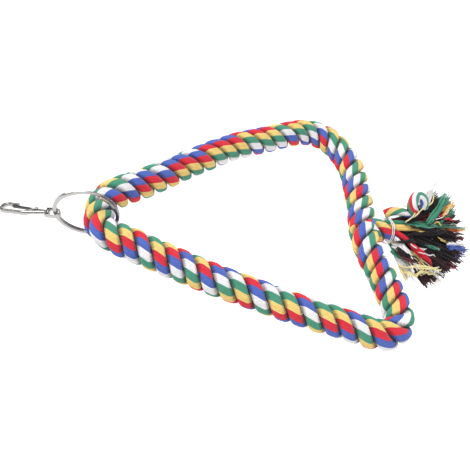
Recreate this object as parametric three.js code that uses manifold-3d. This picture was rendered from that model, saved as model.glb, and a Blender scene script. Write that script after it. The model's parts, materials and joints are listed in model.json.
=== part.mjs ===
// A rope swing for a cage bird, lying on its side: a triangle of three-strand cotton rope stiffened by a
// steel wire, a rope tail with a yarn tassel at the middle of the perch, and at the apex a split ring with a
// swivel snap hook that hangs on a cage bar.
//
// Units are millimetres and +Z is up. The perch lies along Y near x = 0, the apex points to -X, and the
// finished swing is moved so that the origin is under the middle of its bounding box.
import * as THREE from 'three';
import { mergeVertices } from 'three/addons/utils/BufferGeometryUtils.js';
import Module from 'manifold-3d';

const wasm = await Module();
wasm.setup();

// Clearances that the pieces share
const CLEARANCE = 0.3;
const FLOOR_GAP = 0.3;

// Driving dimensions of the rope
const ROPE_R = 10;
const WIRE_R = 1;
const STRAND_GAP = 0.5;
const STRANDS = 3;
const STRAND_SIDES = 8;
const WIRE_SIDES = 5;
const WIRE_STEPS = 120;

// The lay: shares of the loop, each with the thirds of a turn that the strands have made by there. It is
// tight round the apex and slack along the back leg, and each strand meets its own start.
const LAY = [
  [0, 0.6], [0.034, 2.25], [0.102, 6.46], [0.163, 9.42], [0.345, 18.92], [0.437, 24.45], [0.511, 29.08],
  [0.552, 31.48], [0.613, 34.76], [0.816, 45], [0.958, 52.33], [1, 54.6],
];
const LAY_STEPS = 9;

// The rope is drawn in where it runs through the ring
const PINCH = 0.9;
const PINCH_FULL = 8;
const PINCH_END = 22;

// The rope's centre line from the splice to the near corner, the apex, the far corner and back: each point is
// an x, a y and a lift above where the rope lies on the floor. The drawn points are stretched to the frame's
// reach, from the perch to the apex, to its span along the perch and to the apex's lift.
const FRAME_REACH = 191;
const FRAME_SPAN = 175.3;
const FRAME_LIFT = 8;
const DRAWN_ROUTE = [
  [-7.5, -6, 0], [-8, -24, 0], [-5, -42, 0], [-2.8, -58, 0], [-1.8, -70, 0], [-3.5, -79.5, 0], [-9.5, -86, 0],
  [-18.5, -88, 0], [-30, -85, 0], [-52, -77.5, 0], [-77, -68.7, 0], [-101.1, -59.6, 0.7], [-125.2, -50.9, 2],
  [-149.4, -41.2, 4], [-171.7, -32.2, 6.7], [-184.8, -26.5, 8], [-190.8, -20, 8], [-191, -10.9, 8],
  [-188.8, -2.9, 8], [-181.2, 5, 8], [-172, 11.5, 6.7], [-158.3, 20.2, 5.3], [-129.1, 40.7, 2.7],
  [-96.9, 61.2, 1.3], [-62.6, 76.5, 0], [-44.4, 84, 0], [-33, 87.3, 0], [-21.5, 86.8, 0], [-11.9, 81.5, 0],
  [-5, 71.5, 0], [-1, 59, 0], [0.2, 46, 0], [-1.3, 31, 0], [-3.7, 12, 0],
];
const spanOf = (values) => Math.max(...values) - Math.min(...values);
const reachStretch = FRAME_REACH / -Math.min(...DRAWN_ROUTE.map(([x]) => x));
const spanStretch = FRAME_SPAN / spanOf(DRAWN_ROUTE.map(([, y]) => y));
const liftStretch = FRAME_LIFT / spanOf(DRAWN_ROUTE.map(([, , lift]) => lift));
const ROUTE = DRAWN_ROUTE.map(([x, y, lift]) => [x * reachStretch, y * spanStretch, lift * liftStretch]);
const APEX_POINT = ROUTE.reduce((apex, [x], i) => (x < ROUTE[apex][0] ? i : apex), 0);

// Driving dimensions of the tail and its tassel
const TAIL_LENGTH = 22.5;
const TAIL_PITCH = 33;
const TAIL_SWING_GAP = 0.6;
const THREAD_R = 0.45;
const THREAD_TURNS = 2;
const THREAD_STEPS = 24;
const THREAD_GAP = 0.45;
const THREAD_SETBACK = 1;

// The tassel's hanks of yarn leave the tail's end on two circles, in this order. Each has a colour and where
// its tip lies: a run along the tail, a run aside and a height above the floor. The drawn tips are stretched
// to the tassel's reach, span and height.
const TASSEL_REACH = 59;
const TASSEL_SPAN = 65;
const TASSEL_HIGH = 34;
const HANK_R = 6;
const INNER_HANKS = [
  ['black', 33, 14, 34], ['black', 51, -12, 17], ['black', 49, -26, 12], ['black', 36, -34, 8],
  ['black', 21, -41, 4], ['black', 57, 6, 15],
];
const OUTER_HANKS = [
  ['green', 45, 20, 28], ['red', 38, 1, 31], ['green', 52, -6, 29], ['yellow', 55, -4, 22],
  ['red', 15, -35, 21], ['white', 8, -36, 14], ['yellow', 17, -37, 12], ['green', 7, -38, 5],
  ['white', 31, -41, 3], ['blue', 59, -17, 9], ['blue', 55, 24, 12], ['yellow', 54, 18, 22],
];

// Driving dimensions of the split ring
const RING_OUTER_R = 19.3;
const RING_WIDTH = 2.2;
const RING_LAYER = 1.05;
const RING_GAP = 0.45;
const RING_SLACK = 0.35;
const RING_SLIDE = -1.5;
const RING_YAW = 9;
const RING_SPLIT_AT = 78;
const RING_TURNS = 2;
const RING_STEPS = 40;
// The step from one turn of the ring to the next, and the room kept free round it, in shares of a turn
const STEP_HALF = 0.07;
const STEP_CLEAR = 0.09;

// Driving dimensions of the snap hook
const HOOK_LENGTH = 35;
const HOOK_YAW = 9.5;
const HOOK_ROLL = 20;
const HOOK_BAR = 1.9;
const HOOK_THICK = 2.6;
const HOOK_INSIDE = 5.6;
const CROWN_FLAT = 1.6;
const NOSE_LENGTH = 6;
const NECK_LENGTH = 7.4;
const BAIL_PLAY = 0.5;
const BAIL_WALL = 0.8;
const BAIL_BASE = 1;
const BAIL_WIDTH = 3;
const SHANK_R = 1.1;
const SHANK_HEAD = 1.1;
const SHANK_ROOM = 2;
const EAR_THICK = 0.6;
const EYE_WALL = 0.55;
const GATE_THICK = 0.9;
const GATE_OVERLAP = 3.4;
const RIVET_R = 0.55;
const RIVET_HEAD = 0.5;
const RIVET_LIP = 0.2;

// Materials
const finish = (color, roughness, metalness) =>
  new THREE.MeshStandardMaterial({ color, roughness, metalness });
const NICKEL = finish(0xc9c7c2, 0.22, 1);
const SPRING_STEEL = finish(0x8f8d89, 0.3, 1);
const GALVANISED = finish(0x9a9ca0, 0.45, 1);
const THREAD = finish(0xece9e4, 0.9, 0);
const COTTON = {
  blue: finish(0x4a5cb8, 0.95, 0),
  red: finish(0xd92f3c, 0.95, 0),
  yellow: finish(0xf0c766, 0.95, 0),
  green: finish(0x3f9168, 0.95, 0),
  white: finish(0xe9e6ea, 0.95, 0),
  black: finish(0x1c1a1d, 0.95, 0),
};

// General shapes
const vec = (x, y, z) => new THREE.Vector3(x, y, z);
const radians = THREE.MathUtils.degToRad;
const TURN = 2 * Math.PI;
const UP = vec(0, 0, 1);

function piece(name, geometry, material) {
  const mesh = new THREE.Mesh(geometry, material);
  mesh.name = name;
  return mesh;
}

// A closed skin over a row of rings of points, each ring running counter-clockwise about the way the row goes
function loft(rings) {
  const sides = rings[0].length;
  const last = rings.length - 1;
  const middleOf = (ring) => ring.reduce((sum, p) => sum.add(p), vec(0, 0, 0)).divideScalar(sides);
  const points = [...rings.flat(), middleOf(rings[0]), middleOf(rings[last])];
  const index = [];
  for (let j = 0; j < sides; j += 1) {
    const k = (j + 1) % sides;
    for (let i = 0; i < last; i += 1) {
      const a = i * sides;
      const b = a + sides;
      index.push(a + j, a + k, b + k, a + j, b + k, b + j);
    }
    index.push(points.length - 2, k, j, points.length - 1, last * sides + j, last * sides + k);
  }
  return new THREE.BufferGeometry().setFromPoints(points).setIndex(index);
}

// The level side direction and the upward direction square to a run
function frameOf(run) {
  const side = vec(0, 0, 0).crossVectors(UP, run).normalize();
  return { side, rise: vec(0, 0, 0).crossVectors(run, side) };
}

// A ring of points round a centre, where at(angle) gives the offsets along the frame's side and rise
function ringOf(centre, frame, sides, at) {
  return Array.from({ length: sides }, (_, j) => {
    const [a, b] = at((j * TURN) / sides);
    return centre.clone().addScaledVector(frame.side, a).addScaledVector(frame.rise, b);
  });
}

const roundRing = (centre, frame, sides, r) =>
  ringOf(centre, frame, sides, (angle) => [r * Math.cos(angle), r * Math.sin(angle)]);

// A round tube along a curve, with a radius for each point of it
function tube(curve, steps, sides, radiusAt) {
  return loft(Array.from({ length: steps + 1 }, (_, i) => {
    const centre = curve.getPointAt(i / steps);
    return roundRing(centre, frameOf(curve.getTangentAt(i / steps)), sides, radiusAt(centre, i / steps));
  }));
}

function solidOf(geometry) {
  const bare = geometry.clone();
  bare.deleteAttribute('normal');
  bare.deleteAttribute('uv');
  const merged = mergeVertices(bare, 1e-5);
  return new wasm.Manifold(new wasm.Mesh({
    numProp: 3,
    vertProperties: new Float32Array(merged.attributes.position.array),
    triVerts: new Uint32Array(merged.index.array),
  }));
}

function geometryOf(solid) {
  const mesh = solid.getMesh();
  const geometry = new THREE.BufferGeometry();
  geometry.setAttribute('position', new THREE.BufferAttribute(mesh.vertProperties.slice(), 3));
  geometry.setIndex(new THREE.BufferAttribute(mesh.triVerts.slice(), 1));
  return geometry;
}

const joined = (...parts) => geometryOf(parts.map(solidOf).reduce((a, b) => a.add(b)));
const cut = (body, ...tools) => geometryOf(tools.map(solidOf).reduce((a, b) => a.subtract(b), solidOf(body)));

// An outline drawn on X and Z, made into a plate whose thickness along Y is centred on y = 0
function plate(shape, thick) {
  return new THREE.ExtrudeGeometry(shape, { depth: thick, bevelEnabled: false, curveSegments: 6 })
    .rotateX(Math.PI / 2).translate(0, thick / 2, 0);
}

const rodAlongX = (r, from, to) =>
  new THREE.CylinderGeometry(r, r, to - from, 18).rotateZ(-Math.PI / 2).translate((from + to) / 2, 0, 0);

const rodAlongY = (r, length, x, z) => new THREE.CylinderGeometry(r, r, length, 16).translate(x, 0, z);

// The least gap that a winding keeps to itself, between points that are some way apart along it
function leastSelfGap(points, apart, thick) {
  const gaps = points.flatMap((p, i) => points.slice(i + apart).map((q) => p.distanceTo(q) - thick));
  return Math.min(...gaps).toFixed(2);
}

// The rope: three strands laid round a forming wire. A strand's section is an oval that fills its third of
// the rope. It is drawn square to the rope, so that the strands keep their gap where the rope bends.
const routePoints = ROUTE.map(([x, y, lift]) => vec(x, y, ROPE_R + lift));
const route = new THREE.CatmullRomCurve3(routePoints, true, 'catmullrom', 0.5);
const ARC_STEPS = 2000;
route.arcLengthDivisions = ARC_STEPS;
const ROPE_LENGTH = route.getLength();
const BUTT = STRAND_GAP / 2 / ROPE_LENGTH;
const THIRD = TURN / STRANDS;
const STRAND_RISE = (ROPE_R - WIRE_R - STRAND_GAP) / 2;
const STRAND_AT = ROPE_R - STRAND_RISE;
const WEDGE_ROOM = STRAND_AT * Math.sin(THIRD / 2) - STRAND_GAP / 2;
const WEDGE_RISE = STRAND_RISE * Math.sin(THIRD / 2);
const STRAND_HALF = Math.sqrt(WEDGE_ROOM ** 2 - WEDGE_RISE ** 2) / Math.cos(THIRD / 2);

function strandRing(centre, frame, lay, scale = 1) {
  return ringOf(centre, frame, STRAND_SIDES, (angle) => {
    const out = scale * (STRAND_AT + STRAND_RISE * Math.cos(angle));
    const across = scale * STRAND_HALF * Math.sin(angle);
    return [out * Math.cos(lay) - across * Math.sin(lay), out * Math.sin(lay) + across * Math.cos(lay)];
  });
}

// A strand's angle round the rope, at a share of the loop
function layAt(strand, share) {
  const i = Math.max(1, LAY.findIndex(([end]) => end >= share));
  const [[from, first], [to, last]] = [LAY[i - 1], LAY[i]];
  return THIRD * (strand + THREE.MathUtils.mapLinear(share, from, to, first, last));
}

// How far the rope is drawn in, at a share of the loop
const APEX_SHARE = route.getLengths()[Math.round((APEX_POINT / ROUTE.length) * ARC_STEPS)] / ROPE_LENGTH;

function pinchAt(share) {
  const away = Math.abs(share - APEX_SHARE) * ROPE_LENGTH;
  return THREE.MathUtils.lerp(PINCH, 1, THREE.MathUtils.smoothstep(away, PINCH_FULL, PINCH_END));
}

// The loop's ends butt at the splice, with a gap between them
const openLoop = {
  shareAt: (u) => BUTT + u * (1 - 2 * BUTT),
  getPointAt: (u) => route.getPointAt(openLoop.shareAt(u)),
  getTangentAt: (u) => route.getTangentAt(openLoop.shareAt(u)),
};

function ropeStrand(strand) {
  const steps = Math.ceil((spanOf(LAY.map(([, thirds]) => thirds)) / STRANDS) * LAY_STEPS);
  return loft(Array.from({ length: steps + 1 }, (_, i) => {
    const share = openLoop.shareAt(i / steps);
    const frame = frameOf(openLoop.getTangentAt(i / steps));
    return strandRing(openLoop.getPointAt(i / steps), frame, layAt(strand, share), pinchAt(share));
  }));
}

const coreWire = () => tube(openLoop, WIRE_STEPS, WIRE_SIDES, () => WIRE_R);

// The tail: the rope's end, brought out through the lay at the splice, where it can swing about the perch.
// The thread that binds it draws it in, so that the thread lies no lower than the rope.
const SPLICE = route.getPointAt(0);
const PERCH_RUN = route.getTangentAt(0);
const TAIL_RUN = vec(1, 0, 0);
const TAIL_R = ROPE_R - CLEARANCE - 2 * THREAD_R;

function tailStrand(strand) {
  const steps = Math.ceil((TAIL_LENGTH / TAIL_PITCH) * LAY_STEPS);
  const whole = loft(Array.from({ length: steps + 1 }, (_, i) => {
    const run = (i / steps) * TAIL_LENGTH;
    const lay = layAt(strand, 0) + (TURN * run) / TAIL_PITCH;
    return strandRing(SPLICE.clone().addScaledVector(TAIL_RUN, run), frameOf(TAIL_RUN), lay, TAIL_R / ROPE_R);
  }));
  const perch = new THREE.LineCurve3(SPLICE.clone().addScaledVector(PERCH_RUN, -2 * ROPE_R),
    SPLICE.clone().addScaledVector(PERCH_RUN, 2 * ROPE_R));
  return cut(whole, tube(perch, 1, 32, () => ROPE_R + TAIL_SWING_GAP));
}

function whippingThread() {
  const around = TAIL_R + CLEARANCE + THREAD_R;
  const pitch = 2 * THREAD_R + THREAD_GAP;
  const start = TAIL_LENGTH - THREAD_SETBACK - THREAD_R - pitch * THREAD_TURNS;
  const turns = Array.from({ length: THREAD_TURNS * THREAD_STEPS + 1 }, (_, i) => i / THREAD_STEPS);
  const out = (turn) => vec(0, Math.cos(TURN * turn), Math.sin(TURN * turn));
  const at = (turn) =>
    SPLICE.clone().addScaledVector(TAIL_RUN, start + pitch * turn).addScaledVector(out(turn), around);
  console.log('least gap in the whipping', leastSelfGap(turns.map(at), THREAD_STEPS / 2, 2 * THREAD_R));
  return loft(turns.map((turn) =>
    roundRing(at(turn), { side: out(turn), rise: TAIL_RUN.clone().negate() }, 6, THREAD_R)));
}

// The tassel: hanks of yarn that leave the tail's end side by side and spread over the floor like a fan. Each
// is as thick as its neighbours, the floor and its own yarn leave room for.
const NECK_START = TAIL_LENGTH + CLEARANCE;
const OUTER_SINE = Math.sin(Math.PI / OUTER_HANKS.length);
const INNER_SINE = Math.sin(Math.PI / INNER_HANKS.length);
const OUTER_NECK_R = (TAIL_R * OUTER_SINE - CLEARANCE / 2) / (1 + OUTER_SINE);
const OUTER_AT = TAIL_R - OUTER_NECK_R;
const INNER_AT = (OUTER_AT - OUTER_NECK_R - CLEARANCE / 2) / (1 + INNER_SINE);
const HANK_STEPS = 7;
const HANK_SIDES = 7;
const TIP_TAPER = 0.7;
const BEND_LEAST = 2;
const BEND_SHARE = 0.2;
const drawnTips = [...INNER_HANKS, ...OUTER_HANKS];
const tipStretch = vec(TASSEL_REACH / Math.max(...drawnTips.map(([, along]) => along)),
  TASSEL_SPAN / spanOf(drawnTips.map(([, , aside]) => aside)),
  TASSEL_HIGH / Math.max(...drawnTips.map(([, , , height]) => height)));

function hankLine(neckAt, turn, [, ...tip]) {
  const neck = SPLICE.clone().addScaledVector(TAIL_RUN, NECK_START);
  const start = neck.clone().add(vec(0, neckAt * Math.cos(turn), neckAt * Math.sin(turn)));
  const end = vec(...tip).multiply(tipStretch).add(neck.setZ(0));
  const bend = start.clone().addScaledVector(TAIL_RUN, BEND_LEAST + BEND_SHARE * (end.x - start.x));
  return new THREE.QuadraticBezierCurve3(start, bend, end);
}

function tassel() {
  const circle = (drawn, neckAt) => drawn.map((hank, i) =>
    ({ colour: hank[0], line: hankLine(neckAt, ((i + 0.5) * TURN) / drawn.length, hank) }));
  const hanks = [...circle(INNER_HANKS, INNER_AT), ...circle(OUTER_HANKS, OUTER_AT)];
  hanks.forEach((hank) => { hank.points = hank.line.getSpacedPoints(48); });
  const used = {};
  return hanks.map((hank) => {
    const others = hanks.filter((other) => other !== hank).flatMap((other) => other.points);
    const radiusAt = (p, u) => {
      const room = (Math.min(...others.map((q) => q.distanceTo(p))) - CLEARANCE) / 2;
      return Math.min(room, p.z, HANK_R) * (u < 1 ? 1 : TIP_TAPER);
    };
    used[hank.colour] = (used[hank.colour] ?? 0) + 1;
    const geometry = tube(hank.line, HANK_STEPS, HANK_SIDES, radiusAt);
    return piece(`tassel_${hank.colour}_${used[hank.colour]}`, geometry, COTTON[hank.colour]);
  });
}

// The split ring: two flat turns of wire with one step between them, drawn on X and Y with X out to the hook
const RING_R = RING_OUTER_R - RING_WIDTH / 2;
const RING_PITCH = RING_LAYER + RING_GAP;

function splitRing() {
  const span = RING_TURNS - 2 * STEP_CLEAR;
  const count = Math.round(span * RING_STEPS);
  const wire = Array.from({ length: count + 1 }, (_, i) => {
    const turn = STEP_CLEAR + (i / count) * span;
    const step = THREE.MathUtils.smoothstep(turn, 1 - STEP_HALF, 1 + STEP_HALF);
    const angle = radians(RING_SPLIT_AT) + TURN * turn;
    return { out: vec(Math.cos(angle), Math.sin(angle), 0), z: RING_PITCH * step - RING_PITCH / 2 };
  });
  const at = ({ out, z }, r) => out.clone().multiplyScalar(r).setZ(z);
  const middles = wire.map((point) => at(point, RING_R));
  console.log('least gap in the split ring', leastSelfGap(middles, RING_STEPS / 2, RING_LAYER));
  const [w, h, c] = [RING_WIDTH / 2, RING_LAYER / 2, RING_LAYER / 4];
  const section = [[w - c, -h], [c - w, -h], [-w, c - h], [-w, h - c], [c - w, h], [w - c, h], [w, h - c],
    [w, c - h]];
  return loft(wire.map((point) => section.map(([a, b]) => at(point, RING_R + a).add(vec(0, 0, b)))));
}

// The snap hook, drawn with the ring's wire at the origin and along Y, and the hook reaching out along X
const BAIL_INNER_R = Math.hypot(RING_WIDTH, RING_LAYER + RING_PITCH) / 2 + BAIL_PLAY;
const BAIL_X = BAIL_INNER_R + SHANK_HEAD + SHANK_ROOM;
const HOOK_X = BAIL_X + BAIL_BASE + CLEARANCE;
const NECK_HALF = SHANK_R + CLEARANCE;
const HOOK_OUTER_Z = HOOK_INSIDE / 2 + HOOK_BAR;
const CROWN_R = (HOOK_INSIDE - CROWN_FLAT) / 2;
const CROWN_X = HOOK_LENGTH - HOOK_BAR - CROWN_R;
const NOSE_X = CROWN_X - NOSE_LENGTH;
const EAR_X = HOOK_X + NECK_LENGTH;
const BACK_X = EAR_X + HOOK_OUTER_Z;
const PIN_HOLE_R = RIVET_R + CLEARANCE;
const EYE_R = PIN_HOLE_R + EYE_WALL;
const GATE_X = EAR_X - EYE_R;
const GATE_Z = HOOK_BAR / 2;
const GATE_TIP_X = NOSE_X + GATE_OVERLAP;
const GATE_TIP_Z = HOOK_INSIDE / 2 - CLEARANCE - GATE_THICK / 2;
const GATE_WIDTH = HOOK_THICK - 2 * CLEARANCE;
const GATE_ROOT = HOOK_THICK - 2 * EAR_THICK - 2 * CLEARANCE;
const pinHole = () => rodAlongY(PIN_HOLE_R, 2 * HOOK_THICK, GATE_X, GATE_Z);

// The strip bail that wraps the ring's wire, with a round hole in its base for the hook's shank
function swivelBail() {
  const arch = (path, r, x) => {
    path.absarc(0, 0, r, Math.PI / 2, (3 * Math.PI) / 2, false);
    path.lineTo(x, -r);
    path.lineTo(x, r);
    return path;
  };
  const shape = arch(new THREE.Shape(), BAIL_INNER_R + BAIL_WALL, BAIL_X + BAIL_BASE);
  shape.holes.push(arch(new THREE.Path(), BAIL_INNER_R, BAIL_X));
  const shankHole = rodAlongX(SHANK_R + CLEARANCE, BAIL_X - BAIL_BASE, BAIL_X + 2 * BAIL_BASE);
  return cut(plate(shape, BAIL_WIDTH), shankHole);
}

// The hook's J with its slotted neck for the gate, and the headed shank that turns in the bail
function hookBody() {
  const inside = HOOK_INSIDE / 2;
  const flat = CROWN_FLAT / 2;
  const shape = new THREE.Shape();
  shape.moveTo(HOOK_X, -NECK_HALF);
  shape.lineTo(BACK_X, -HOOK_OUTER_Z);
  shape.lineTo(CROWN_X, -HOOK_OUTER_Z);
  shape.absarc(CROWN_X, -flat, CROWN_R + HOOK_BAR, -Math.PI / 2, 0, false);
  shape.absarc(CROWN_X, flat, CROWN_R + HOOK_BAR, 0, Math.PI / 2, false);
  shape.lineTo(NOSE_X, HOOK_OUTER_Z);
  shape.lineTo(NOSE_X, inside);
  shape.lineTo(CROWN_X, inside);
  shape.absarc(CROWN_X, flat, CROWN_R, Math.PI / 2, 0, true);
  shape.absarc(CROWN_X, -flat, CROWN_R, 0, -Math.PI / 2, true);
  shape.lineTo(BACK_X + HOOK_BAR / 2, -inside);
  shape.lineTo(EAR_X, GATE_Z - EYE_R);
  shape.lineTo(EAR_X, GATE_Z + EYE_R);
  shape.lineTo(HOOK_X, NECK_HALF);
  const slotFloor = GATE_Z - EYE_R - CLEARANCE;
  const slot = new THREE.BoxGeometry(2 * NECK_LENGTH, GATE_ROOT + 2 * CLEARANCE, 2 * HOOK_OUTER_Z)
    .translate(GATE_X - EYE_R - CLEARANCE + NECK_LENGTH, 0, slotFloor + HOOK_OUTER_Z);
  const headEnd = BAIL_X - CLEARANCE;
  return joined(cut(plate(shape, HOOK_THICK), slot, pinHole()),
    rodAlongX(SHANK_R, headEnd - SHANK_HEAD / 2, HOOK_X + SHANK_R),
    rodAlongX(BAIL_INNER_R - CLEARANCE, headEnd - SHANK_HEAD, headEnd));
}

// The gate: a sprung lever from its eye on the rivet to the inside of the hook's nose
function hookGate() {
  const [dx, dz] = [GATE_TIP_X - GATE_X, GATE_TIP_Z - GATE_Z];
  const length = Math.hypot(dx, dz);
  const lever = (from, wide) => new THREE.BoxGeometry(length - from, wide, GATE_THICK)
    .translate((length + from) / 2, 0, 0).rotateY(-Math.atan2(dz, dx)).translate(GATE_X, 0, GATE_Z);
  const whole = joined(lever(2 * EYE_R + CLEARANCE, GATE_WIDTH), lever(0, GATE_ROOT),
    rodAlongY(EYE_R, GATE_ROOT, GATE_X, GATE_Z));
  return cut(whole, pinHole());
}

function gateRivet() {
  const inner = HOOK_THICK / 2 + CLEARANCE / 2;
  const head = (side) => rodAlongY(PIN_HOLE_R + RIVET_LIP, RIVET_HEAD, GATE_X, GATE_Z)
    .translate(0, side * (inner + RIVET_HEAD / 2), 0);
  return joined(rodAlongY(RIVET_R, 2 * inner + RIVET_HEAD, GATE_X, GATE_Z), head(-1), head(1));
}

// Assembly of the rope, its tail and the tassel
const swing = new THREE.Group();
const STRAND_COLOURS = ['blue', 'red', 'green'];
for (let strand = 0; strand < STRANDS; strand += 1) {
  const letter = 'abc'[strand];
  const cotton = COTTON[STRAND_COLOURS[strand]];
  swing.add(piece(`rope_strand_${letter}`, ropeStrand(strand), cotton));
  swing.add(piece(`tail_strand_${letter}`, tailStrand(strand), cotton));
}
swing.add(piece('core_wire', coreWire(), GALVANISED));
swing.add(piece('whipping_thread', whippingThread(), THREAD));
swing.add(...tassel());

// The ring stands on the floor round the rope's apex, close to the inside of its bend
const APEX = routePoints[APEX_POINT].clone().add(vec(0, RING_SLIDE, 0));
const ringRoom = RING_OUTER_R - RING_WIDTH - PINCH * ROPE_R - RING_SLACK;
const ringUp = THREE.MathUtils.clamp(RING_OUTER_R - APEX.z, -ringRoom, ringRoom);
const ringOut = Math.sqrt(ringRoom ** 2 - ringUp ** 2);
const ringYaw = radians(RING_YAW);
const ringGroup = new THREE.Group();
const ringWay = vec(-Math.cos(ringYaw), Math.sin(ringYaw), 0);
const ringNormal = vec(Math.sin(ringYaw), Math.cos(ringYaw), 0);
ringGroup.setRotationFromMatrix(new THREE.Matrix4().makeBasis(ringWay, UP, ringNormal));
ringGroup.position.set(APEX.x - ringOut, APEX.y, APEX.z + ringUp);
ringGroup.add(piece('split_ring', splitRing(), NICKEL));
swing.add(ringGroup);

// The hook reaches out from the ring and down to the floor, a little turned in its bail
const hookYaw = radians(HOOK_YAW);
const hookRoll = radians(HOOK_ROLL);
const hookLow = HOOK_OUTER_Z * Math.sin(hookRoll) + (HOOK_THICK / 2) * Math.cos(hookRoll);
const hookFall = APEX.z + ringUp - hookLow - FLOOR_GAP;
const hookDrop = Math.asin(hookFall / (RING_R + HOOK_LENGTH * Math.cos(hookYaw)));
const hookGroup = new THREE.Group();
hookGroup.position.set(RING_R * Math.cos(hookDrop), -RING_R * Math.sin(hookDrop), 0);
hookGroup.rotation.set(0, -hookYaw, -hookDrop, 'ZYX');
hookGroup.add(piece('swivel_bail', swivelBail(), NICKEL));
const turnedGroup = new THREE.Group();
turnedGroup.rotation.x = hookRoll;
turnedGroup.add(piece('hook_body', hookBody(), NICKEL));
turnedGroup.add(piece('hook_gate', hookGate(), SPRING_STEEL));
turnedGroup.add(piece('gate_rivet', gateRivet(), NICKEL));
hookGroup.add(turnedGroup);
ringGroup.add(hookGroup);

// The origin goes under the middle of the bounding box
swing.updateMatrixWorld(true);
const box = new THREE.Box3().setFromObject(swing, true);
const middle = box.getCenter(vec(0, 0, 0));
swing.position.set(-middle.x, -middle.y, -box.min.z);
swing.updateMatrixWorld(true);

// Where the joints and the seat are, in metres, and which way they point
const places = {
  apex: [swing, APEX, UP],
  splice: [swing, SPLICE, PERCH_RUN],
  ring: [ringGroup, vec(0, 0, 0), UP],
  bail: [hookGroup, vec(0, 0, 0), vec(0, 1, 0)],
  swivel: [hookGroup, vec(HOOK_X, 0, 0), vec(1, 0, 0)],
  gate: [turnedGroup, vec(GATE_X, 0, GATE_Z), vec(0, 1, 0)],
  crown: [turnedGroup, vec(HOOK_LENGTH - HOOK_BAR, 0, 0), vec(-1, 0, 0)],
};
const numbers = (v) => v.toArray().map((n) => n.toFixed(6)).join(' ');
Object.entries(places).forEach(([name, [group, point, way]]) => {
  const at = group.localToWorld(point.clone()).divideScalar(1000);
  console.log(name, numbers(at), 'axis', numbers(way.clone().transformDirection(group.matrixWorld)));
});
console.log('rope length', ROPE_LENGTH.toFixed(1), 'shift', numbers(swing.position));

export default swing;
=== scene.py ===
"""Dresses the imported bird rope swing: laid cotton rope, yarn tassel, split ring and swivel snap hook.

Sizes are millimetres in the swing's own frame, in which the perch lies near x = 0 and the floor is z = 0.
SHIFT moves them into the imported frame, which is in metres.
"""

import json
import logging
import math
import random
from collections.abc import Sequence
from dataclasses import dataclass, field
from enum import Enum

import bmesh
import bpy
import numpy as np
from mathutils import Matrix, Vector


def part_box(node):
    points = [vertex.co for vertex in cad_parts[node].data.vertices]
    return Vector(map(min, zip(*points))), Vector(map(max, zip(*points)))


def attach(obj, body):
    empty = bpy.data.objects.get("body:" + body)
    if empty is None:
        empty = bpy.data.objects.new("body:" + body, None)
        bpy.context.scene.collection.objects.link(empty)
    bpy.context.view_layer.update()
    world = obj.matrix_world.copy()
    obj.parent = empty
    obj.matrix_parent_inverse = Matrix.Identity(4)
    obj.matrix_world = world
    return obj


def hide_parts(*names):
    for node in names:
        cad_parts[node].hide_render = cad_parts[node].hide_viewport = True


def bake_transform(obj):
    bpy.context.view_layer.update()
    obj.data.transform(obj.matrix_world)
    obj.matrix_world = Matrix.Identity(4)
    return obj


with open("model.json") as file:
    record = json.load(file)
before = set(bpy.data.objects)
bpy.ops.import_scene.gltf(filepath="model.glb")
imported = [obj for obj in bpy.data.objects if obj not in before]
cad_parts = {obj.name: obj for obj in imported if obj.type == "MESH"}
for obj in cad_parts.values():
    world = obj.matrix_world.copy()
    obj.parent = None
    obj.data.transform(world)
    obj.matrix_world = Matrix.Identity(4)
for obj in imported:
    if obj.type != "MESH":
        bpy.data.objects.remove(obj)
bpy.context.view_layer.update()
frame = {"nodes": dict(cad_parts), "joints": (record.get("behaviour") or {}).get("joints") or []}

Triple = tuple[float, float, float]
Pair = tuple[float, float]
Pairs = tuple[Pair, ...]

LOG = logging.getLogger("rope_swing")
MM = 0.001
TURN = 2 * math.pi
UP = np.array((0.0, 0.0, 1.0))
ALONG_Y = np.array((0.0, 1.0, 0.0))

ROPE_R = 10.0
SPLICE = np.array((-7.5, -6.0, ROPE_R))
TAIL_WAY = np.array((1.0, 0.0, 0.0))
TAIL_LENGTH = 22.5
TAIL_SCALE = 0.88

# The rope's centre line, as the solids have it: an x, a y and a lift above where the rope lies on the floor
ROUTE = (
    (-7.5, -6, 0), (-8, -24, 0), (-5, -42, 0), (-2.8, -58, 0), (-1.8, -70, 0), (-3.5, -79.5, 0),
    (-9.5, -86, 0), (-18.5, -88, 0), (-30, -85, 0), (-52, -77.5, 0), (-77, -68.7, 0), (-101.1, -59.6, 0.7),
    (-125.2, -50.9, 2), (-149.4, -41.2, 4), (-171.7, -32.2, 6.7), (-184.8, -26.5, 8), (-190.8, -20, 8),
    (-191, -10.9, 8), (-188.8, -2.9, 8), (-181.2, 5, 8), (-172, 11.5, 6.7), (-158.3, 20.2, 5.3),
    (-129.1, 40.7, 2.7), (-96.9, 61.2, 1.3), (-62.6, 76.5, 0), (-44.4, 84, 0), (-33, 87.3, 0),
    (-21.5, 86.8, 0), (-11.9, 81.5, 0), (-5, 71.5, 0), (-1, 59, 0), (0.2, 46, 0), (-1.3, 31, 0),
    (-3.7, 12, 0),
)


def joint(name: str) -> dict:
    """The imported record's joint of that name."""
    return next(entry for entry in frame["joints"] if entry["name"] == name)


SHIFT = np.array(joint("tassel_swing")["pos_m"]) / MM - SPLICE
SHIFT_VECTOR = Vector(SHIFT.tolist())


def even(count: int) -> np.ndarray:
    """So many shares from 0 to 1, evenly spaced."""
    return np.linspace(0.0, 1.0, count)


def smooth(shares: np.ndarray) -> np.ndarray:
    """Shares that leave 0 and reach 1 softly, and are held there beyond."""
    held = np.clip(shares, 0.0, 1.0)
    return held * held * (3 - 2 * held)


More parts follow.
